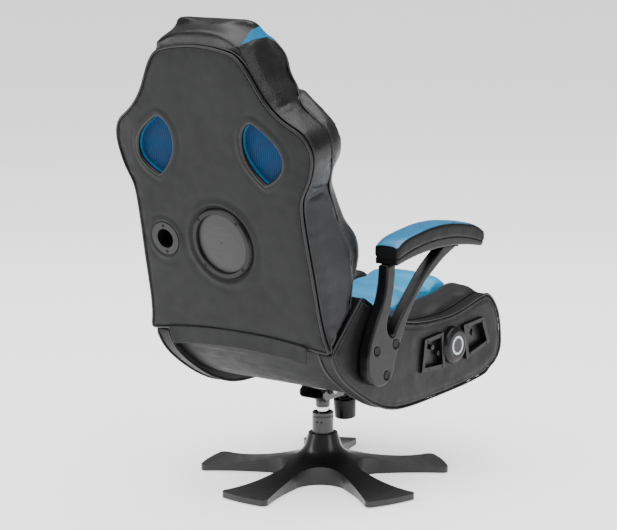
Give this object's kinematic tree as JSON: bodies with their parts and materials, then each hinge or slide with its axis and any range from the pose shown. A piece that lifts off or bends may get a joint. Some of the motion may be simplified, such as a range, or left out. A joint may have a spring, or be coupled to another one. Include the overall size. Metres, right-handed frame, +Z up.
{
  "type": "gaming chair",
  "caption": "High-backed gaming rocker chair on a five-legged swivel pedestal, with padded arms, built-in speakers and a side control panel.",
  "frame": {"origin": "floor level under the post axis, at the centre of the five-legged base", "axes": "+Z up, the seat faces -Y, +X is the sitter's left"},
  "size_m": [0.6158, 0.8207, 1.0978],
  "materials": {
    "base_plastic": "semi-gloss moulded, black",
    "rubber": "matt",
    "nylon": "natural nylon",
    "black_steel": "black powder coat",
    "dark_screw": "blackened",
    "chrome": "polished",
    "steel": "zinc plated",
    "black_plastic": "fine texture",
    "dark_plastic": "satin",
    "lining": "smooth vinyl-backed lining",
    "plywood": "raw",
    "black_leather": "smooth black leatherette",
    "pebbled_leather": "fine pebbled slate-black leatherette",
    "blue_leather": "smooth sky-blue leatherette",
    "blue_mesh": "open mesh cloth",
    "light_ring": "translucent white light guide",
    "lens": "dark smoked lens"
  },
  "bodies": {
    "base": {"star_base": "base_plastic", "floor_glides": "rubber", "thrust_disc": "nylon", "post_collar": "black_steel", "collar_screws": "dark_screw", "swivel_bush": "nylon"},
    "pedestal": {"post_rod": "chrome", "rod_retainer": "steel", "tilt_housing": "black_steel", "tilt_axle": "steel"},
    "seat": {"amplifier_box": "black_plastic", "arm_bolts": "dark_screw", "arm_frame_left": "black_plastic", "arm_frame_right": "black_plastic", "arm_pad_base_left": "black_plastic", "arm_pad_base_right": "black_plastic", "arm_pad_left": "blue_leather", "arm_pad_right": "blue_leather", "arm_spacers": "black_plastic", "audio_jack": "dark_plastic", "control_bezel": "black_plastic", "control_plates": "dark_plastic", "hinge_pins": "steel", "hub_lens": "lens", "light_ring": "light_ring", "panel_screws": "dark_screw", "seat_board": "plywood", "seat_bolster_left": "black_leather", "seat_bolster_right": "black_leather", "seat_bolts": "steel", "seat_cushion": "blue_leather", "seat_frame": "plywood", "seat_front_pad": "black_leather", "seat_hinge_plates": "black_steel", "seat_plate": "black_steel", "side_panel_left": "pebbled_leather", "side_panel_right": "pebbled_leather", "tilt_spring": "steel", "underside_cover": "lining"},
    "backrest": {"back_panel": "pebbled_leather", "back_screws": "dark_screw", "speaker_bezel": "black_plastic", "speaker_grille": "dark_plastic", "speaker_driver": "steel", "speaker_enclosure": "plywood", "bass_port": "dark_plastic", "back_frame": "black_steel", "wing_speakers": "dark_plastic", "back_hinge_plates": "black_steel", "back_core": "black_leather", "vent_meshes": "blue_mesh", "back_cushion": "blue_leather", "back_bolster_left": "black_leather", "back_bolster_right": "black_leather", "head_cushion": "black_leather", "rear_flap": "lining"},
    "tension_knob": {"tension_knob": "black_plastic"},
    "volume_knob": {"volume_knob": "dark_plastic"},
    "bass_knob": {"bass_knob": "dark_plastic"},
    "power_switch": {"power_switch": "dark_plastic"}
  },
  "joints": [
    {"name": "swivel", "type": "hinge", "parent": "base", "child": "pedestal", "pos_m": [0, 0, 0.1], "axis": [0, 0, 1], "continuous": true},
    {"name": "tilt", "type": "hinge", "parent": "pedestal", "child": "seat", "pos_m": [0, 0.012, 0.216], "axis": [-1, 0, 0], "range_deg": [0, 12], "stiffness_Nm_per_rad": 300, "springref_deg": -20.05, "deforming": ["tilt_spring"]},
    {"name": "tension", "type": "hinge", "parent": "seat", "child": "tension_knob", "pos_m": [0, -0.082, 0.236], "axis": [0, 0.0523, 0.9986], "range_deg": [-360, 360]},
    {"name": "back_fold", "type": "hinge", "parent": "seat", "child": "backrest", "pos_m": [0, 0.182, 0.483], "axis": [1, 0, 0], "range_deg": [0, 65]},
    {"name": "volume", "type": "hinge", "parent": "seat", "child": "volume_knob", "pos_m": [-0.25, -0.088, 0.326], "axis": [-1, 0, 0], "range_deg": [-150, 150]},
    {"name": "bass", "type": "hinge", "parent": "seat", "child": "bass_knob", "pos_m": [-0.25, -0.112, 0.308], "axis": [-1, 0, 0], "range_deg": [-150, 150]},
    {"name": "power", "type": "slide", "parent": "seat", "child": "power_switch", "axis": [0, 0, 1], "range_m": [0, 0.004]}
  ]
}
